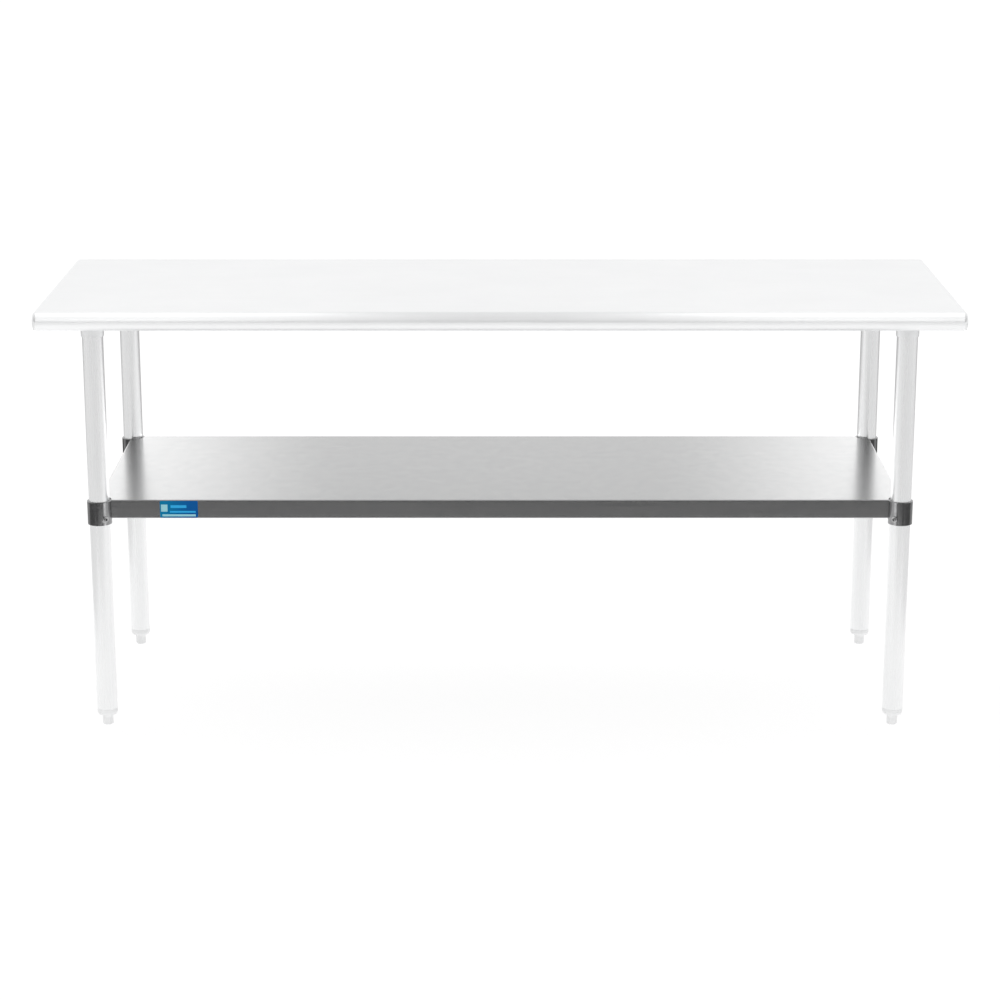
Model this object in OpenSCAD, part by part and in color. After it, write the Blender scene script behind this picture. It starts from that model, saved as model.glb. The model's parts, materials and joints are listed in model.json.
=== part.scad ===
// Stainless work table: a rolled-edge worktop on four tubular legs, a galvanised
// undershelf whose corner sleeves slide up and down the legs, and four screw-out feet.
// Millimetres. The origin is on the floor under the middle of the table: +X runs along
// its length, -Y is the front and +Z is up.

/* [Worktop] */
// Length of the worktop
top_length = 1829; // [1220:1:2440]
// Depth of the worktop from front to rear
top_depth = 610; // [500:1:762]
// Height of the work surface with the feet screwed right in
table_height = 864; // [760:1:920]
// Height of the rolled front and rear edges, which are full half-rounds
edge_height = 38; // [34:1:44]
// Radius of the bend along the two turned-down ends
end_bend_radius = 8; // [3:1:12]
// Thickness of the stainless sheet
top_sheet = 1.2; // [0.9:0.1:1.6]

/* [Legs] */
// Outside diameter of the leg tubes
leg_diameter = 41.3; // [38:0.1:44]
// Wall thickness of the leg tubes
leg_wall = 1.5; // [1:0.1:2.5]
// Distance from the end of the worktop to the middle of a leg
leg_inset_x = 112; // [90:1:200]
// Distance from the front or rear edge of the worktop to the middle of a leg
leg_inset_y = 44; // [44:1:90]

/* [Undershelf] */
// Height of the top of the undershelf above the floor
shelf_height = 476; // [260:1:700]
// Height of the turned-down shelf edges
shelf_edge = 38; // [30:1:44]
// Thickness of the galvanised sheet
shelf_sheet = 1.2; // [0.9:0.1:1.6]
// How far the shelf edges stand outside the leg centres
shelf_overhang = 4; // [3:0.5:8]
// Height of the corner sleeves
sleeve_height = 47; // [44:1:60]
// Outside diameter of the corner sleeves
sleeve_diameter = 48.5; // [48:0.5:56]

/* [Feet] */
// Height of the foot below its insert when it is screwed right in
foot_height = 24; // [18:1:30]
// Width of the hexagonal foot across its corners
foot_width = 22; // [20:1:28]
// Diameter of the foot's stem
stem_diameter = 12; // [10:1:14]

/* [Hidden] */
$fn = 64;
cut = 1;               // how far a cutting shape runs past what it cuts
weld = 0.001;          // how far two touching shapes of one profile run into each other
rod_sides = 48;        // sides of a small round boss, bore or screw

// Corners of the table: name, side along X, side along Y
CORNERS = [["front_left", -1, -1], ["front_right", 1, -1], ["rear_left", -1, 1], ["rear_right", 1, 1]];
corner_nodes = ["leg_socket", "leg", "leg_insert", "foot_stem", "foot", "shelf_sleeve"];

leg_x = top_length / 2 - leg_inset_x;
leg_y = top_depth / 2 - leg_inset_y;
leg_radius = leg_diameter / 2;

// Hat channels under the worktop
roll_radius = edge_height / 2;
channel_depth = 22;
channel_web = 60;
channel_flange = 20;
channel_sheet = 1.2;
channel_width = channel_web + 2 * channel_flange;
channel_top = table_height - top_sheet;
end_channel_length = top_depth - 2 * roll_radius - 2;
centre_channel_length = 2 * (leg_x - channel_width / 2 - 1);

// Leg sockets: a plate welded under an end channel, with a short cone that takes the leg
plate_thickness = 3;
plate_width = 56;
plate_outer = 24;      // reach of the plate from the leg centre towards the table's edge
plate_inner = 38;      // reach towards the table's middle
plate_bottom = channel_top - channel_depth - plate_thickness;
socket_drop = 27;      // length of the cone below the plate
socket_clearance = 0.2;
socket_wall = 1.75;    // thickness of the cone at its mouth
socket_flare = 0.6;    // how much its radius grows towards the plate
socket_mouth_radius = leg_radius + socket_clearance + socket_wall;
socket_top_radius = socket_mouth_radius + socket_flare;
socket_screw_turn = 45;   // direction of the set screw, from the table's length towards its middle
socket_bottom = plate_bottom - socket_drop;
socket_screw_height = socket_bottom + socket_drop / 2;

// Set screws and the bosses they turn in
boss_radius = 6;
boss_root = leg_radius + 1;   // where a boss starts, inside the wall it stands on
boss_reach = 28;       // distance from the leg centre to the face of a socket's boss
screw_diameter = 8;
screw_clearance = 0.05;
screw_key_width = 4;
screw_key_depth = 5;
screw_stub = 2;        // how far a tightened screw stands out of its boss

// Leg inserts and feet
collar_height = 12;
collar_round = 5.5;
collar_mouth_radius = 13;
insert_depth = 38;     // length of the insert inside the leg
insert_clearance = 0.05;
insert_radius = leg_radius - leg_wall - insert_clearance;
insert_wall = 2.5;     // thickness of the cup's wall inside the leg
insert_core_radius = 10.5;
insert_floor = 6;
leg_bottom = foot_height + collar_height;
leg_top = plate_bottom;
foot_base_radius = 9;
foot_chamfer = 1.5;
stem_radius = stem_diameter / 2;
stem_clearance = 0.08;
seat_clearance = 0.03;
stem_seat = 6;         // thickness of the foot below its stem
stem_top = 62;

// Undershelf
shelf_length = 2 * (leg_x + shelf_overhang);
shelf_depth = 2 * (leg_y + shelf_overhang);
shelf_bend_radius = 3;
shelf_hem = 12;
sleeve_radius = sleeve_diameter / 2;
sleeve_clearance = 0.3;
sleeve_drop = 1.5;     // how far the sleeve's rim lies below the shelf surface
sleeve_gap = 0.25;     // gap between a sleeve and the cut-out in the shelf
sleeve_top = shelf_height - sleeve_drop;
sleeve_bottom = sleeve_top - sleeve_height;
sleeve_boss_stand = 2.25;  // how far a sleeve's boss stands out of it
sleeve_boss_reach = sleeve_radius + sleeve_boss_stand;
sleeve_screw_turn = -55;  // the same for the sleeves, whose screws face outwards
sleeve_screw_height = sleeve_bottom + 12.5;
lug_thickness = 3;
lug_length = 26;       // length of a lug beyond the sleeve
lug_height = 28;
lug_margin = 3;        // gap between a lug and the underside of the shelf

// Blank sticker on the front edge of the shelf
label_length = 76;
label_height = shelf_edge - 3;
label_thickness = 0.3;
label_x = -643;

// Places a shape drawn for the front left leg, with its inside along +X and +Y, at corner c
module at_corner(c) {
    translate([c[1] * leg_x, c[2] * leg_y, 0])
        flip(c[1] > 0, [1, 0, 0]) flip(c[2] > 0, [0, 1, 0]) children();
}

module flip(on, axis) {
    if (on) mirror(axis) children();
    else children();
}

// Half-open rectangle hanging from the X axis, its corners rounded at the top and bottom
module hanging_profile(width, height, top_r, bottom_r) {
    half = width / 2;
    translate([-half + top_r, -height]) square([width - 2 * top_r, height]);
    translate([-half, -height + bottom_r]) square([width, height - top_r - bottom_r + weld]);
    translate([-half + bottom_r, -height]) square([width - 2 * bottom_r, height - top_r]);
    for (side = [-1, 1]) {
        translate([side * (half - top_r), -top_r]) circle(top_r);
        if (bottom_r > 0) translate([side * (half - bottom_r), bottom_r - height]) circle(bottom_r);
    }
}

// Extrudes a profile drawn in X and Z symmetrically along Y, or one drawn in Y and Z along X
module along_y(length) {
    rotate([90, 0, 0]) translate([0, 0, -length / 2]) linear_extrude(length) children();
}
module along_x(length) {
    rotate([0, 0, 90]) along_y(length) children();
}

// Block whose ends have the profile's first pair of radii and whose long edges have the second
module bent_block(length, depth, height, end_r, side_top_r, side_bottom_r) {
    intersection() {
        along_y(depth + 2 * cut) hanging_profile(length, height, end_r, 0);
        along_x(length + 2 * cut) hanging_profile(depth, height, side_top_r, side_bottom_r);
    }
}

// Hat section hanging from the X axis: a trough with a flange along each side
module hat_profile() {
    difference() {
        union() {
            translate([-channel_width / 2, -channel_sheet]) square([channel_width, channel_sheet]);
            translate([-channel_web / 2, -channel_depth]) square([channel_web, channel_depth]);
        }
        translate([-channel_web / 2 + channel_sheet, -channel_depth + channel_sheet])
            square([channel_web - 2 * channel_sheet, channel_depth]);
    }
}

// Level rod of radius r between two distances from the leg centre, turned from +X towards +Y
module radial_rod(r, from, to, turn, z, sides = rod_sides) {
    translate([0, 0, z]) rotate([0, 0, turn]) rotate([0, 90, 0]) translate([0, 0, from])
        cylinder(r = r, h = to - from, $fn = sides);
}

// Headless screw with a hexagon socket, its tip at tip_distance from the leg centre
module set_screw(tip_distance, end_distance, turn, z) {
    difference() {
        radial_rod(screw_diameter / 2, tip_distance, end_distance, turn, z);
        radial_rod(screw_key_width / sqrt(3), end_distance - screw_key_depth, end_distance + cut,
            turn, z, sides = 6);
    }
}

// Sheet-metal top: rolled front and rear edges, turned-down ends, open underneath
module worktop() {
    opening_depth = top_depth - 2 * roll_radius;
    color("gainsboro") translate([0, 0, table_height]) difference() {
        bent_block(top_length, top_depth, edge_height, end_bend_radius, roll_radius, roll_radius);
        translate([0, 0, -top_sheet]) bent_block(
            top_length - 2 * top_sheet, top_depth - 2 * top_sheet, edge_height - 2 * top_sheet,
            end_bend_radius - top_sheet, roll_radius - top_sheet, roll_radius - top_sheet);
        translate([-top_length / 2 + top_sheet, -opening_depth / 2, -edge_height - cut])
            cube([top_length - 2 * top_sheet, opening_depth, edge_height / 2 + cut]);
    }
}

module end_channel(side) {
    color("silver") translate([side * leg_x, 0, channel_top]) along_y(end_channel_length) hat_profile();
}
module end_channel_left() end_channel(-1);
module end_channel_right() end_channel(1);

module centre_channel() {
    color("silver") translate([0, 0, channel_top]) along_x(centre_channel_length) hat_profile();
}

module leg_socket(c) {
    color("silver") at_corner(c) difference() {
        union() {
            translate([-plate_width / 2, -plate_outer, plate_bottom])
                cube([plate_width, plate_outer + plate_inner, plate_thickness]);
            translate([0, 0, socket_bottom])
                cylinder(r1 = socket_mouth_radius, r2 = socket_top_radius, h = socket_drop);
            radial_rod(boss_radius, boss_root, boss_reach, socket_screw_turn, socket_screw_height);
        }
        translate([0, 0, socket_bottom - cut])
            cylinder(r = leg_radius + socket_clearance, h = socket_drop + cut);
        radial_rod(screw_diameter / 2 + screw_clearance, 0, boss_reach + cut, socket_screw_turn,
            socket_screw_height);
    }
}

module socket_set_screws() {
    color("dimgray") for (c = CORNERS) at_corner(c)
        set_screw(leg_radius, boss_reach + screw_stub, socket_screw_turn, socket_screw_height);
}

module leg(c) {
    color("gainsboro") at_corner(c) translate([0, 0, leg_bottom]) difference() {
        cylinder(r = leg_radius, h = leg_top - leg_bottom);
        translate([0, 0, -cut]) cylinder(r = leg_radius - leg_wall, h = leg_top - leg_bottom + 2 * cut);
    }
}

// Die-cast plug in the foot of the leg: a rounded collar below, a cup with a bored core above
module leg_insert(c) {
    shoulder = leg_radius - collar_round;
    color("lightgray") at_corner(c) translate([0, 0, foot_height]) difference() {
        rotate_extrude() {
            square([collar_mouth_radius, collar_height]);
            intersection() {
                translate([0, collar_round]) union() {
                    square([leg_radius, collar_height - collar_round]);
                    translate([shoulder, 0]) circle(collar_round);
                    translate([0, -collar_round]) square([shoulder, collar_height]);
                }
                square([leg_radius, collar_height]);
            }
            square([insert_radius, collar_height + insert_floor]);
            translate([insert_radius - insert_wall, 0])
                square([insert_wall, collar_height + insert_depth]);
            square([insert_core_radius, collar_height + insert_depth]);
        }
        translate([0, 0, -cut])
            cylinder(r = stem_radius + stem_clearance, h = collar_height + insert_depth + 2 * cut);
    }
}

module foot_stem(c) {
    color("darkgray") at_corner(c) translate([0, 0, stem_seat])
        cylinder(r = stem_radius, h = stem_top - stem_seat);
}

// Hexagonal foot with a round bearing face and a blind seat for its stem
module foot(c) {
    color("gray") at_corner(c) difference() {
        union() {
            translate([0, 0, foot_chamfer])
                cylinder(r = foot_width / 2, h = foot_height - foot_chamfer, $fn = 6);
            cylinder(r1 = foot_base_radius - 1, r2 = foot_base_radius, h = foot_chamfer);
        }
        translate([0, 0, stem_seat]) cylinder(r = stem_radius + seat_clearance, h = foot_height);
    }
}

// Galvanised pan: edges turned down and hemmed inwards, corners cut out around the sleeves
module undershelf() {
    hem_opening = [shelf_length - 2 * shelf_hem, shelf_depth - 2 * shelf_hem];
    inner_bend = shelf_bend_radius - shelf_sheet;
    color("lightgray") difference() {
        translate([0, 0, shelf_height])
            bent_block(shelf_length, shelf_depth, shelf_edge, shelf_bend_radius, shelf_bend_radius, 0);
        translate([0, 0, shelf_height - shelf_sheet]) bent_block(
            shelf_length - 2 * shelf_sheet, shelf_depth - 2 * shelf_sheet, shelf_edge - 2 * shelf_sheet,
            inner_bend, inner_bend, 0);
        translate([-hem_opening[0] / 2, -hem_opening[1] / 2, shelf_height - shelf_edge - cut])
            cube([hem_opening[0], hem_opening[1], shelf_edge / 2]);
        for (c = CORNERS) at_corner(c) translate([0, 0, shelf_height - shelf_edge - cut])
            cylinder(r = sleeve_radius + sleeve_gap, h = shelf_edge + 2 * cut);
    }
}

// Stiffening hat channel under the middle of the shelf
module shelf_channel() {
    color("silver") translate([0, 0, shelf_height - shelf_sheet])
        along_x(shelf_length - 2 * shelf_hem - 2) hat_profile();
}

// Cast sleeve around the leg, with a lug against each shelf edge and a boss for its set screw
module shelf_sleeve(c) {
    lug_bottom = shelf_height - shelf_sheet - lug_margin - lug_height;
    lug_start = shelf_sheet - shelf_overhang;
    color("dimgray") at_corner(c) difference() {
        union() {
            translate([0, 0, sleeve_bottom]) cylinder(r = sleeve_radius, h = sleeve_height);
            translate([0, lug_start, lug_bottom])
                cube([sleeve_radius + lug_length, lug_thickness, lug_height]);
            translate([lug_start, 0, lug_bottom])
                cube([lug_thickness, sleeve_radius + lug_length, lug_height]);
            radial_rod(boss_radius, boss_root, sleeve_boss_reach, sleeve_screw_turn,
                sleeve_screw_height);
        }
        translate([0, 0, sleeve_bottom - cut])
            cylinder(r = leg_radius + sleeve_clearance, h = sleeve_height + 2 * cut);
        radial_rod(screw_diameter / 2 + screw_clearance, 0, sleeve_boss_reach + cut,
            sleeve_screw_turn, sleeve_screw_height);
    }
}

module shelf_set_screws() {
    color("dimgray") for (c = CORNERS) at_corner(c)
        set_screw(leg_radius + sleeve_clearance, sleeve_boss_reach + screw_stub, sleeve_screw_turn,
            sleeve_screw_height);
}

module shelf_label() {
    color("deepskyblue")
        translate([label_x - label_length / 2, -shelf_depth / 2 - label_thickness,
                   shelf_height - (shelf_edge + label_height) / 2])
            cube([label_length, label_thickness, label_height]);
}

worktop();
end_channel_left();
end_channel_right();
centre_channel();
socket_set_screws();
undershelf();
shelf_channel();
shelf_set_screws();
shelf_label();
for (c = CORNERS) {
    leg_socket(c);
    leg(c);
    leg_insert(c);
    foot_stem(c);
    foot(c);
    shelf_sleeve(c);
}
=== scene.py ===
import json
import math

import bmesh
import bpy
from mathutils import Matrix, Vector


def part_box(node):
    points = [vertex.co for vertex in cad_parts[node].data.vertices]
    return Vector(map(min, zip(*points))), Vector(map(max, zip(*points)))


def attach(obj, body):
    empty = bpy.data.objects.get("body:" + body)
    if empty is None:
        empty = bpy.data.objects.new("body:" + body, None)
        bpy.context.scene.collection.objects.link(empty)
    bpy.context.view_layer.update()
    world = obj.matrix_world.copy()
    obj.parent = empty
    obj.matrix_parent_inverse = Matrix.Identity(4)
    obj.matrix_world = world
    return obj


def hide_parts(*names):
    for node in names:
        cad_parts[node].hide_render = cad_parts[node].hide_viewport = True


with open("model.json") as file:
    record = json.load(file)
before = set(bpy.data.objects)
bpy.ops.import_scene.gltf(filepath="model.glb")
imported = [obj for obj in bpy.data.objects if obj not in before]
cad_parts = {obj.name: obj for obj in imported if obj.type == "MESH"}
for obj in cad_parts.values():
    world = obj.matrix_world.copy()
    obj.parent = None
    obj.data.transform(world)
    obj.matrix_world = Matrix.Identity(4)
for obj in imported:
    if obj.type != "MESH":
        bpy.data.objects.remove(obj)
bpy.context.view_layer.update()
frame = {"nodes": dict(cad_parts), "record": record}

MM = 0.001
BOSS_REACH = 6.5 * MM  # from the middle of a set screw to just past the boss it turns in
FLAT = "unfolded"      # the UV map of a bent sheet: metres along and across it before it was bent
WHITE = (1, 1, 1)
MIX_SHARE, MIX_UNDER, MIX_OVER, MIX_RESULT = 0, 6, 7, 2  # the sockets of a Mix node that mixes colours
NODES = frame["nodes"]
CORNERS = {"front_left": (-1, -1), "front_right": (1, -1), "rear_left": (-1, 1), "rear_right": (1, 1)}
LEG_CENTRES = {}
for corner in CORNERS:
    low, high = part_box("leg_" + corner)
    LEG_CENTRES[corner] = (low + high) / 2
BODY_OF = {n: b for b, members in frame["record"]["behaviour"]["bodies"].items() for n in members}


# ---------------------------------------------------------------- materials

def add(tree, kind, inputs=None, **settings):
    """A new node of that kind, with its settings and unlinked inputs set."""
    node = tree.nodes.new(kind)
    for key, value in settings.items():
        setattr(node, key, value)
    for key, value in (inputs or {}).items():
        node.inputs[key].default_value = value
    return node


def material(name, unfolded=False, **sockets):
    """A material with one Principled shader; returns it, its tree, the shader and the coordinates in metres:
    the object's own, or those of the sheet before it was bent."""
    made = bpy.data.materials.new(name)
    made.use_nodes = True
    tree = made.node_tree
    shader = tree.nodes["Principled BSDF"]
    for key, value in sockets.items():
        shader.inputs[key.replace("_", " ")].default_value = value
    if unfolded:
        place = add(tree, "ShaderNodeUVMap", uv_map=FLAT).outputs["UV"]
        tangent = add(tree, "ShaderNodeTangent", direction_type="UV_MAP", uv_map=FLAT)
        tree.links.new(tangent.outputs["Tangent"], shader.inputs["Tangent"])
        shader.inputs["Anisotropic Rotation"].default_value = 0.25
    else:
        place = add(tree, "ShaderNodeTexCoord").outputs["Object"]
    return made, tree, shader, place


def grain(tree, place, stretch, detail=4.0, roughness=0.6):
    """Noise stretched to that many features a metre along each axis, from 0 to 1."""
    mapped = add(tree, "ShaderNodeMapping", {"Scale": stretch})
    noise = add(tree, "ShaderNodeTexNoise", {"Scale": 1.0, "Detail": detail, "Roughness": roughness})
    tree.links.new(place, mapped.inputs["Vector"])
    tree.links.new(mapped.outputs["Vector"], noise.inputs["Vector"])
    return noise.outputs["Fac"]


def spread(tree, value, low, high, start=0.3, end=0.7, steps="LINEAR"):
    """Maps value between start and end to low..high; most of a 0 to 1 pattern lies between 0.3 and 0.7."""
    node = add(tree, "ShaderNodeMapRange",
               {"From Min": start, "From Max": end, "To Min": low, "To Max": high}, interpolation_type=steps)
    tree.links.new(value, node.inputs["Value"])
    return node.outputs["Result"]


def tint(tree, value, dark, light, start=0.3, end=0.7):
    """Colour between dark and light by a 0 to 1 pattern."""
    ramp = add(tree, "ShaderNodeValToRGB")
    ramp.color_ramp.elements[0].position, ramp.color_ramp.elements[1].position = start, end
    ramp.color_ramp.elements[0].color, ramp.color_ramp.elements[1].color = (*dark, 1), (*light, 1)
    tree.links.new(value, ramp.inputs["Fac"])
    return ramp.outputs["Color"]


def multiply(tree, one, two):
    """The product of two colours."""
    node = add(tree, "ShaderNodeMix", {MIX_SHARE: 1.0}, data_type="RGBA", blend_type="MULTIPLY")
    tree.links.new(one, node.inputs[MIX_UNDER])
    tree.links.new(two, node.inputs[MIX_OVER])
    return node.outputs[MIX_RESULT]


def bump(tree, shader, height, strength, distance, after=None):
    """Relief on the shader, over that of another bump if there is one."""
    node = add(tree, "ShaderNodeBump", {"Strength": strength, "Distance": distance})
    tree.links.new(height, node.inputs["Height"])
    if after:
        tree.links.new(after.outputs["Normal"], node.inputs["Normal"])
    tree.links.new(node.outputs["Normal"], shader.inputs["Normal"])
    return node


def maths(tree, operation, one, two=0.0):
    """One step of arithmetic on sockets or numbers."""
    node = add(tree, "ShaderNodeMath", operation=operation)
    for socket, value in zip(node.inputs, (one, two)):
        if isinstance(value, (int, float)):
            socket.default_value = value
        else:
            tree.links.new(value, socket)
    return node.outputs[0]


def ease(tree, value, start, end, low, high):
    """Goes softly from low to high as value goes from start to end."""
    return spread(tree, value, low, high, start, end, "SMOOTHSTEP")


def brushed(name, dark, light, metallic, rough, stretch, relief, wave, anisotropic=0.0):
    """Brushed sheet or tube: fine lines along the axis with the fewest features a metre, faint clouds, and a
    slight waviness of that height."""
    made, tree, shader, place = material(name, anisotropic > 0, Metallic=metallic, Anisotropic=anisotropic)
    lines = grain(tree, place, stretch, 5.0, 0.7)
    clouds = grain(tree, place, (6, 6, 6), 3.0)
    cloudy = tint(tree, clouds, (0.975, 0.976, 0.978), WHITE)
    tree.links.new(multiply(tree, tint(tree, lines, dark, light), cloudy), shader.inputs["Base Color"])
    tree.links.new(spread(tree, lines, rough * 0.92, rough * 1.08), shader.inputs["Roughness"])
    slow = bump(tree, shader, grain(tree, place, (1.5, 2.0, 2.0), 1.0), 0.25, wave)
    bump(tree, shader, lines, relief, 0.1 * MM, slow)
    return made


def galvanised(name, dark, light, rough, stretch, anisotropic=0.0):
    """Zinc-coated sheet: rolling lines under crystals that differ a little in tone and gloss."""
    made, tree, shader, place = material(name, anisotropic > 0, Metallic=1.0, Anisotropic=anisotropic)
    lines = grain(tree, place, stretch, 5.0, 0.75)
    crystal = add(tree, "ShaderNodeTexVoronoi", {"Scale": 70.0, "Randomness": 1.0})
    tree.links.new(place, crystal.inputs["Vector"])
    tone = tint(tree, crystal.outputs["Color"], (0.93, 0.935, 0.94), WHITE, 0.0, 1.0)
    tree.links.new(multiply(tree, tint(tree, lines, dark, light), tone), shader.inputs["Base Color"])
    tree.links.new(spread(tree, lines, rough * 0.92, rough * 1.08), shader.inputs["Roughness"])
    bump(tree, shader, lines, 0.02, 0.1 * MM)
    return made


def cast(name, dark, light, metallic, rough, pits_a_metre):
    """Cast, moulded or turned piece: cloudy tone with a fine pitted skin."""
    made, tree, shader, place = material(name, Metallic=metallic)
    clouds = grain(tree, place, (90, 90, 90), 4.0)
    pits = grain(tree, place, (pits_a_metre,) * 3, 3.0)
    tree.links.new(tint(tree, clouds, dark, light), shader.inputs["Base Color"])
    tree.links.new(spread(tree, pits, rough * 0.8, rough * 1.2), shader.inputs["Roughness"])
    bump(tree, shader, pits, 0.1, 0.2 * MM)
    return made


def vinyl(name, deep, teal, bright, pale):
    """Blank printed sticker: a blue field, teal towards one end, with a pale block, a pale band and two
    bright bands."""
    made, tree, shader, place = material(name, Roughness=0.38, Specular_IOR_Level=0.10)
    low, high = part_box("shelf_label")
    axes = add(tree, "ShaderNodeSeparateXYZ")
    tree.links.new(place, axes.inputs["Vector"])

    def along(axis):
        """Share of the way along the label's X (0) or Z (2)."""
        return spread(tree, axes.outputs[axis], 0, 1, low[axis], high[axis])

    def block(under, colour, left, right, bottom, top):
        """Lays a plain block of colour over the label between those shares of its width and height."""
        mask = 1.0
        for share, start, end in ((along(0), left, right), (along(2), bottom, top)):
            off = maths(tree, "ABSOLUTE", maths(tree, "SUBTRACT", share, (start + end) / 2))
            mask = maths(tree, "MULTIPLY", mask, maths(tree, "LESS_THAN", off, (end - start) / 2))
        mix = add(tree, "ShaderNodeMix", data_type="RGBA")
        mix.inputs[MIX_OVER].default_value = (*colour, 1)
        tree.links.new(mask, mix.inputs[MIX_SHARE])
        tree.links.new(under, mix.inputs[MIX_UNDER])
        return mix.outputs[MIX_RESULT]

    clouds = tint(tree, grain(tree, place, (60, 60, 60), 2.0), (0.92, 0.92, 0.92), WHITE)
    field = multiply(tree, tint(tree, along(0), teal, deep, 0.1, 0.8), clouds)
    field = block(field, pale, 0.03, 0.20, 0.36, 0.78)
    field = block(field, bright, 0.28, 0.70, 0.58, 0.74)
    field = block(field, bright, 0.26, 0.94, 0.30, 0.40)
    field = block(field, pale, 0.06, 0.94, 0.08, 0.20)
    tree.links.new(field, shader.inputs["Base Color"])
    bump(tree, shader, grain(tree, place, (900, 900, 900), 2.0), 0.08, 0.1 * MM)
    return made


FINISHES = {
    "worktop_steel": (brushed, {"dark": (0.89, 0.893, 0.896), "light": (0.93, 0.933, 0.936), "metallic": 0.92,
                                "rough": 0.34, "stretch": (2.5, 400, 1), "relief": 0.05, "wave": 0.5 * MM,
                                "anisotropic": 0.4}),
    "leg_steel": (brushed, {"dark": (0.895, 0.898, 0.90), "light": (0.925, 0.928, 0.93), "metallic": 0.95,
                            "rough": 0.28, "stretch": (600, 600, 3), "relief": 0.02, "wave": 0.2 * MM}),
    "socket_steel": (cast, {"dark": (0.84, 0.845, 0.85), "light": (0.92, 0.925, 0.93), "metallic": 0.85,
                            "rough": 0.36, "pits_a_metre": 900}),
    "channel_galvanised": (galvanised, {"dark": (0.46, 0.465, 0.47), "light": (0.60, 0.605, 0.61),
                                        "rough": 0.42, "stretch": (3, 200, 200)}),
    "shelf_galvanised": (galvanised, {"dark": (0.48, 0.48, 0.48), "light": (0.51, 0.51, 0.51), "rough": 0.25,
                                      "stretch": (2.5, 350, 1), "anisotropic": 0.5}),
    "sleeve_cast": (cast, {"dark": (0.27, 0.27, 0.273), "light": (0.34, 0.34, 0.344), "metallic": 1.0,
                           "rough": 0.21, "pits_a_metre": 1200}),
    "insert_plastic": (cast, {"dark": (0.88, 0.882, 0.885), "light": (0.93, 0.932, 0.935), "metallic": 0.0,
                              "rough": 0.42, "pits_a_metre": 900}),
    "foot_plastic": (cast, {"dark": (0.84, 0.842, 0.845), "light": (0.90, 0.902, 0.905), "metallic": 0.0,
                            "rough": 0.45, "pits_a_metre": 900}),
    "stem_steel": (cast, {"dark": (0.42, 0.42, 0.40), "light": (0.55, 0.55, 0.52), "metallic": 1.0,
                          "rough": 0.32, "pits_a_metre": 700}),
    "screw_steel": (cast, {"dark": (0.40, 0.40, 0.405), "light": (0.50, 0.50, 0.505), "metallic": 1.0,
                           "rough": 0.30, "pits_a_metre": 700}),
    "label_vinyl": (vinyl, {"deep": (0.0, 0.12, 0.42), "teal": (0.0, 0.24, 0.48),
                            "bright": (0.04, 0.50, 0.95), "pale": (0.40, 0.78, 0.86)}),
}
MATERIALS = {name: make(name, **values) for name, (make, values) in FINISHES.items()}
# Pieces that each group of studio lights reaches, by the slot of their finish
LIT = {name: bpy.data.collections.new("lit_" + name) for name in ("top", "legs", "feet", "shelf", "sleeves")}
LIT_BY_SLOT = {"worktop_steel": "top", "leg_steel": "legs", "socket_steel": "legs", "insert_plastic": "feet",
               "foot_plastic": "feet", "shelf_galvanised": "shelf", "sleeve_cast": "sleeves"}


# ---------------------------------------------------------------- pieces

def piece(name, mesh, slot, node, sharp=35):
    """Makes a mesh into a piece with the slot's material that stands for a CAD node and rides on its body."""
    made = bpy.data.objects.new(name, mesh)
    bpy.context.scene.collection.objects.link(made)
    mesh.materials.clear()
    mesh.materials.append(MATERIALS[slot])
    mesh.shade_smooth()
    mesh.set_sharp_from_angle(angle=math.radians(sharp))
    if slot in LIT_BY_SLOT:
        LIT[LIT_BY_SLOT[slot]].objects.link(made)
    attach(made, BODY_OF[node])
    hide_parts(node)
    return made


def to_mesh(name, bm):
    """The finished mesh, its faces turned outwards."""
    bmesh.ops.recalc_face_normals(bm, faces=bm.faces)
    mesh = bpy.data.meshes.new(name)
    bm.to_mesh(mesh)
    bm.free()
    return mesh


def quarter(steps):
    """Angles from nothing to a right angle."""
    return [math.pi / 2 * i / steps for i in range(steps + 1)]


def refined(node, width, slot, screws=None):
    """A copy of a CAD node with its flat faces made whole and its edges broken by a fine bevel; the long
    facets that meet a set screw's boss are split above and below it, so that it can't bend their shading."""
    bm = bmesh.new()
    bm.from_mesh(NODES[node].data)
    bmesh.ops.remove_doubles(bm, verts=bm.verts, dist=0.01 * MM)
    bmesh.ops.dissolve_limit(bm, angle_limit=math.radians(0.5), verts=bm.verts, edges=bm.edges)
    if screws:
        low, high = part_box(screws)
        for off in (-BOSS_REACH, BOSS_REACH):
            bmesh.ops.bisect_plane(bm, geom=bm.verts[:] + bm.edges[:] + bm.faces[:],
                                   plane_co=(0, 0, (low.z + high.z) / 2 + off), plane_no=(0, 0, 1))
    made = piece(node + "_piece", to_mesh(node, bm), slot, node)
    edge = made.modifiers.new("edge", "BEVEL")
    edge.width, edge.segments, edge.limit_method = width, 2, "ANGLE"
    edge.angle_limit, edge.harden_normals = math.radians(35), True


def unfold(mesh, low, high):
    """Writes each corner's place on the flat sheet: X and Y, with the way down a bent edge added to them."""
    layer = mesh.uv_layers.new(name=FLAT)
    for face in mesh.polygons:
        across_x = abs(face.normal.x) > abs(face.normal.y)
        for i in face.loop_indices:
            co = mesh.vertices[mesh.loops[i].vertex_index].co
            drop = high.z - co.z
            u = co.x + math.copysign(drop, co.x) * across_x
            v = co.y + math.copysign(drop, co.y) * (not across_x)
            layer.data[i].uv = (u, v)


def thicken(made, sheet):
    """Gives a bent skin its sheet thickness inwards, and keeps its flat faces flat in the light."""
    skin = made.modifiers.new("sheet", "SOLIDIFY")
    skin.thickness, skin.offset, skin.use_even_offset = sheet, -1, True
    normals = made.modifiers.new("normals", "WEIGHTED_NORMAL")
    normals.weight, normals.keep_sharp = 100, True


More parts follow.
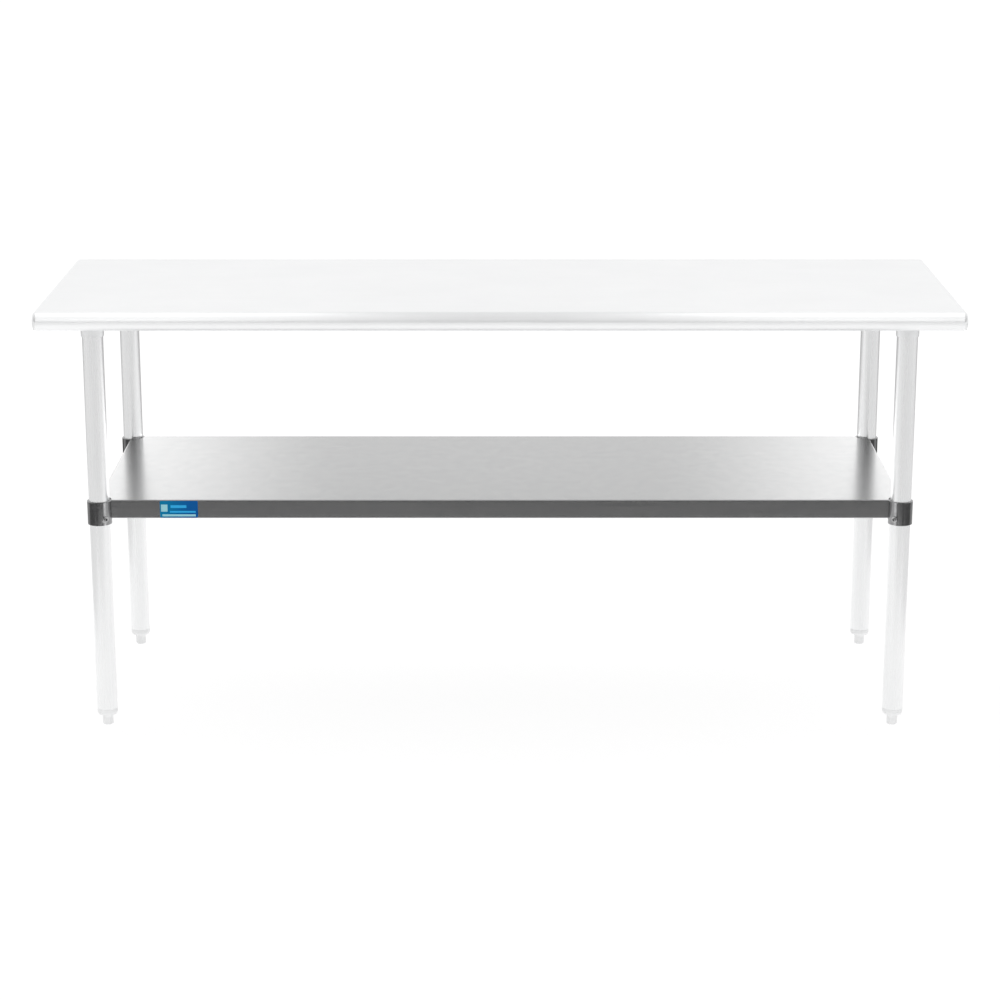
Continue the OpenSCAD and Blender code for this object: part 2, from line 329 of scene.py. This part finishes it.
def worktop():
    """Sheet top: half-round front and rear rolls, end flanges, and a rounded edge all round each end."""
    low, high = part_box("worktop")
    roll = (high.z - low.z) / 2
    middle, centre_y = low.z + roll, high.y - roll
    bend, curl, sheet, arc = 8 * MM, 6 * MM, 1.2 * MM, 24
    bm = bmesh.new()

    def section(x, inset):
        """The profile from the front lip over the top to the rear lip, moved inwards by inset."""
        r = roll - inset
        points = []
        for i in range(arc + 1):
            a = math.radians(-90 - 180 * i / arc)
            points.append((-centre_y + r * math.cos(a), middle + r * math.sin(a)))
        points += [(-y, z) for y, z in reversed(points)]
        return [bm.verts.new((x, y, z)) for y, z in points]

    places = [(low.x + bend * (1 - math.cos(a)), bend * (1 - math.sin(a))) for a in quarter(8)]
    places += [(-x, inset) for x, inset in reversed(places)]
    sections = [section(x, inset) for x, inset in places]
    for one, two in zip(sections, sections[1:]):
        for a, b, c, d in zip(one, one[1:], two[1:], two):
            bm.faces.new((a, b, c, d))
    for ring, x in ((sections[0], low.x), (sections[-1], high.x)):  # the end flanges
        y0, z0 = ring[0].co.y, ring[0].co.z
        lower = [(y0 + curl * (1 - math.cos(a)), z0 - (z0 - low.z) * math.sin(a)) for a in quarter(6)[1:]]
        outline = lower + [(-y, z) for y, z in reversed(lower)]
        bottom = [bm.verts.new((x, y, z)) for y, z in outline]
        bm.faces.new(list(ring) + bottom[::-1])
    mesh = to_mesh("worktop_sheet", bm)
    unfold(mesh, low, high)
    thicken(piece("worktop_sheet", mesh, "worktop_steel", "worktop", sharp=50), sheet)


def undershelf():
    """Sheet pan: four edges bent down and hemmed inwards, its corners cut out round the sleeves."""
    low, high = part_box("undershelf")
    leg = LEG_CENTRES["rear_right"]
    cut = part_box("shelf_sleeve_rear_right")[1].x - leg.x + 0.25 * MM
    bend, foot_bend, hem, sheet = 3 * MM, 2 * MM, 12 * MM, 1.2 * MM
    profile = [(bend * (1 - math.sin(a)), high.z - bend * (1 - math.cos(a))) for a in quarter(6)]
    profile += [(foot_bend * (1 - math.cos(a)), low.z + foot_bend * (1 - math.sin(a))) for a in quarter(6)]
    profile += [(hem, low.z)]
    bm = bmesh.new()
    for along, across in ((0, 1), (1, 0)):  # the bent edges
        for side in (-1, 1):
            strips = []
            for inward, z in profile:
                reach = high[across] - inward
                end = leg[along] - math.sqrt(cut ** 2 - (reach - leg[across]) ** 2)
                row = []
                for where in (-end, end):
                    co = [0, 0, z]
                    co[along], co[across] = where, side * reach
                    row.append(bm.verts.new(co))
                strips.append(row)
            for one, two in zip(strips, strips[1:]):
                bm.faces.new((one[0], one[1], two[1], two[0]))
    past = math.asin((high.y - bend - leg.y) / cut)  # the flat top, with an arc round each sleeve
    start, turn, arc = math.pi - past, math.pi / 2 + 2 * past, 16
    outline = []
    for sx, sy in ((1, 1), (-1, 1), (-1, -1), (1, -1)):
        angles = [start + turn * i / arc for i in range(arc + 1)]
        points = [(sx * (leg.x + cut * math.cos(a)), sy * (leg.y + cut * math.sin(a)), high.z)
                  for a in angles]
        outline += points if sx * sy < 0 else points[::-1]
    bm.faces.new([bm.verts.new(p) for p in outline])
    bmesh.ops.remove_doubles(bm, verts=bm.verts, dist=0.02 * MM)
    mesh = to_mesh("undershelf_pan", bm)
    unfold(mesh, low, high)
    thicken(piece("undershelf_pan", mesh, "shelf_galvanised", "undershelf", sharp=50), sheet)


def threaded_stem(corner):
    """Stem with a rolled thread, one ring of points for every few degrees of its helix."""
    low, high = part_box("foot_stem_" + corner)
    centre, radius = (low + high) / 2, (high.x - low.x) / 2
    pitch, depth, chamfer, sides, per_turn = 1.75 * MM, 0.8 * MM, 1.5 * MM, 32, 6
    rings = int((high.z - low.z) / pitch * per_turn)
    bm = bmesh.new()
    grid = []
    for i in range(rings + 1):
        z = low.z + (high.z - low.z) * i / rings
        row = []
        for k in range(sides):
            a = 2 * math.pi * k / sides
            phase = (z / pitch - k / sides) % 1
            r = radius - depth * (abs(2 * phase - 1) + max(0, 1 - (high.z - z) / chamfer))
            row.append(bm.verts.new((centre.x + r * math.cos(a), centre.y + r * math.sin(a), z)))
        grid.append(row)
    for one, two in zip(grid, grid[1:]):
        for k in range(sides):
            bm.faces.new((one[k], one[(k + 1) % sides], two[(k + 1) % sides], two[k]))
    bm.faces.new(grid[0][::-1])
    bm.faces.new(grid[-1])
    piece("stem_thread_" + corner, to_mesh("stem_thread", bm), "stem_steel", "foot_stem_" + corner, sharp=60)


def label():
    """Sticker with rounded corners on the shelf's front edge."""
    low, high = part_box("shelf_label")
    corner, steps = 2.5 * MM, 6
    bm = bmesh.new()
    outline = []
    for cx, cz, start in ((high.x - corner, high.z - corner, 0), (low.x + corner, high.z - corner, 90),
                          (low.x + corner, low.z + corner, 180), (high.x - corner, low.z + corner, 270)):
        for i in range(steps + 1):
            a = math.radians(start + 90 * i / steps)
            outline.append((cx + corner * math.cos(a), cz + corner * math.sin(a)))
    front, back = ([bm.verts.new((x, y, z)) for x, z in outline] for y in (low.y, high.y))
    bm.faces.new(front)
    bm.faces.new(back[::-1])
    for a, b, c, d in zip(front, front[1:] + front[:1], back[1:] + back[:1], back):
        bm.faces.new((a, b, c, d))
    piece("label_sticker", to_mesh("label_sticker", bm), "label_vinyl", "shelf_label")


worktop()
undershelf()
label()
for corner in CORNERS:
    threaded_stem(corner)
    refined("foot_" + corner, 0.8 * MM, "foot_plastic")
    refined("leg_insert_" + corner, 0.5 * MM, "insert_plastic")
    refined("leg_" + corner, 0.3 * MM, "leg_steel")
    refined("leg_socket_" + corner, 0.6 * MM, "socket_steel", "socket_set_screws")
    refined("shelf_sleeve_" + corner, 0.8 * MM, "sleeve_cast", "shelf_set_screws")
for node in ("end_channel_left", "end_channel_right", "centre_channel"):
    refined(node, 0.4 * MM, "channel_galvanised")
refined("shelf_channel", 0.4 * MM, "shelf_galvanised")
refined("socket_set_screws", 0.3 * MM, "screw_steel")
refined("shelf_set_screws", 0.3 * MM, "screw_steel")


# ---------------------------------------------------------------- studio

UNSEEN = {ray: False for ray in ("camera", "diffuse", "glossy", "transmission", "shadow", "volume_scatter")}
GLOSSY_ONLY, CAMERA_ONLY = {**UNSEEN, "glossy": True}, {**UNSEEN, "camera": True}
FLOOR_REACH, BACKDROP_RADIUS = 40, 45


def emitter(name, strength, diffuse=0.0):
    """Plain light-coloured surface: it glows with that strength and may also catch soft shadows."""
    made = bpy.data.materials.new(name)
    made.use_nodes = True
    shader = made.node_tree.nodes["Principled BSDF"]
    shader.inputs["Base Color"].default_value = (diffuse, diffuse, diffuse, 1)
    shader.inputs["Specular IOR Level"].default_value = 0
    shader.inputs["Roughness"].default_value = 1
    shader.inputs["Emission Color"].default_value = (*WHITE, 1)
    shader.inputs["Emission Strength"].default_value = strength
    return made


def stage_object(name, bm, surface, **visible):
    """A part of the studio; visible says which kinds of ray see it."""
    mesh = to_mesh(name, bm)
    mesh.materials.append(surface)
    made = bpy.data.objects.new(name, mesh)
    bpy.context.scene.collection.objects.link(made)
    for ray, seen in visible.items():
        setattr(made, "visible_" + ray, seen)
    return made


def level_sheet(name, strips, z, surface, **visible):
    """A part of the studio made of level rectangles, each given as x0, x1, y0, y1."""
    bm = bmesh.new()
    for x0, x1, y0, y1 in strips:
        bm.faces.new([bm.verts.new((x, y, z)) for x, y in ((x0, y0), (x1, y0), (x1, y1), (x0, y1))])
    return stage_object(name, bm, surface, **visible)


# Floor in four quarters, each of which stays under its own foot when that screws out
floor_surface = emitter("floor", 0.81, 0.34)
for corner, (sx, sy) in CORNERS.items():
    x, y = FLOOR_REACH * sx, FLOOR_REACH * sy
    quarter_floor = level_sheet("floor_" + corner, [(min(0, x), max(0, x), min(0, y), max(0, y))], 0,
                                floor_surface)
    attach(quarter_floor, BODY_OF["foot_" + corner])

bm = bmesh.new()
bmesh.ops.create_uvsphere(bm, u_segments=48, v_segments=24, radius=BACKDROP_RADIUS)
stage_object("backdrop", bm, emitter("backdrop", 1.1), **CAMERA_ONLY)

# Painted reflections: a dark sheet round the set, seen only in reflections, so the floor there mirrors dark;
# and a glowing grey card over the middle of the worktop, seen only in reflections, that its front roll
# mirrors
RING = {"front": (-9, 9, -9, -1.3), "rear": (-9, 9, 1.6, 9), "left": (-9, -1.5, -1.3, 1.6),
        "right": (1.5, 9, -1.3, 1.6)}
level_sheet("flags", RING.values(), 2 * MM, emitter("flags", 0.05), **GLOSSY_ONLY)
level_sheet("card", [(-0.42, 0.42, -0.6, 1.5)], 2.3, emitter("card", 0.82), **GLOSSY_ONLY)


# World: bright behind the table and dimmer in front
world = bpy.data.worlds.new("studio")
bpy.context.scene.world = world
world.use_nodes = True
tree = world.node_tree
axes = add(tree, "ShaderNodeSeparateXYZ")
tree.links.new(add(tree, "ShaderNodeTexCoord").outputs["Generated"], axes.inputs["Vector"])
background = tree.nodes["Background"]
background.inputs["Color"].default_value = (*WHITE, 1)
strength = maths(tree, "MULTIPLY", ease(tree, axes.outputs[1], -0.7, 0.7, 0.5, 1.02),
                 ease(tree, axes.outputs[1], -1.0, -0.6, 0.2, 1.0))
tree.links.new(strength, background.inputs["Strength"])


def fill(reached, name, place, size, turn, level, ends=None, between=(0.0, 1.0)):
    """Area light of that radiance for one group of pieces; with ends, its radiance changes from level to ends
    between two distances from its middle."""
    data = bpy.data.lights.new(name, "AREA")
    data.shape, data.size, data.size_y = "RECTANGLE", size[0], size[1]
    data.energy = math.pi * size[0] * size[1] * (level if ends is None else 1)
    made = bpy.data.objects.new(name, data)
    bpy.context.scene.collection.objects.link(made)
    made.location = place
    made.rotation_euler = turn
    made.visible_camera = False
    made.light_linking.receiver_collection = LIT[reached]
    if ends is not None:
        data.use_nodes = True
        tree = data.node_tree
        axes = add(tree, "ShaderNodeSeparateXYZ")
        tree.links.new(add(tree, "ShaderNodeNewGeometry").outputs["Parametric"], axes.inputs["Vector"])
        off_centre = maths(tree, "ABSOLUTE", maths(tree, "SUBTRACT", axes.outputs[0], 0.5))
        away = ease(tree, off_centre, between[0] / size[0], between[1] / size[0], level, ends)
        tree.links.new(away, tree.nodes["Emission"].inputs["Strength"])
    return made


UP, DOWN = (math.pi, 0, 0), (0, 0, 0)
TO_REAR, TO_FRONT = (-math.pi / 2, 0, math.pi), (math.pi / 2, 0, math.pi)
RING_LEVELS = {"front": {"top": 0.84, "legs": 0.74}, "rear": {"top": 0.75, "legs": 0.40},
               "left": {"top": 0.75, "legs": 0.74}, "right": {"top": 0.75, "legs": 0.74}}
for where, (x0, x1, y0, y1) in RING.items():
    for reached, level in RING_LEVELS[where].items():
        fill(reached, "floor_%s_%s" % (where, reached), ((x0 + x1) / 2, (y0 + y1) / 2, 4 * MM),
             (x1 - x0, y1 - y0), UP, level)

# Banks for the worktop, brighter towards their ends, and the glow from the shelf under its front roll
fill("top", "front_bank", (0, -3.3, 2.25), (4.0, 2.1), TO_REAR, 0.46, ends=1.15, between=(0.40, 0.95))
fill("top", "overhead_bank", (0, -1.2, 3.4), (3.6, 4.2), DOWN, 0.08, ends=0.65, between=(0.25, 0.65))
fill("top", "under_nose", (0, 0, 0.49), (1.6, 0.52), UP, 0.45)
# Glow of the shelf on the legs, which goes up and down with it
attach(fill("legs", "over_shelf", (0, 0, 0.48), (1.6, 0.52), UP, 0.62), BODY_OF["undershelf"])
# Front light on the feet, and a light behind the table that brightens the ends of the shelf
fill("feet", "front_low", (0, -4, 1.2), (9, 2), TO_REAR, 1.0)
fill("shelf", "behind", (0, 1.2, 0.9), (5, 1.0), TO_FRONT, 0.0, ends=0.75, between=(0.375, 1.05))
# Patches of floor that the sleeves mirror: a bright one inwards, dimmer ones outwards and behind
for side in (-1, 1):
    fill("sleeves", "inner_%d" % side, (-side * 0.6, -1.2, 6 * MM), (0.8, 0.6), UP, 1.4)
    fill("sleeves", "outer_%d" % side, (side * 2.6, -1.5, 6 * MM), (2.2, 3), UP, 0.10)
    fill("sleeves", "rear_%d" % side, (side * 2.6, 0.6, 6 * MM), (2.2, 1.2), UP, 0.5)

# Camera straight in front of the table, metres away and up, looking down by that many degrees
CAMERA_AWAY, CAMERA_UP, LOOKS_DOWN = 5.4526, 1.9012, 15.36
camera_data = bpy.data.cameras.new("camera")
camera_data.lens, camera_data.sensor_width, camera_data.clip_end = 96.8, 36, 200
camera = bpy.data.objects.new("camera", camera_data)
bpy.context.scene.collection.objects.link(camera)
camera.location = (0, -CAMERA_AWAY, CAMERA_UP)
camera.rotation_euler = (math.radians(90 - LOOKS_DOWN), 0, 0)
bpy.context.scene.camera = camera
bpy.context.scene.view_settings.view_transform = "Standard"
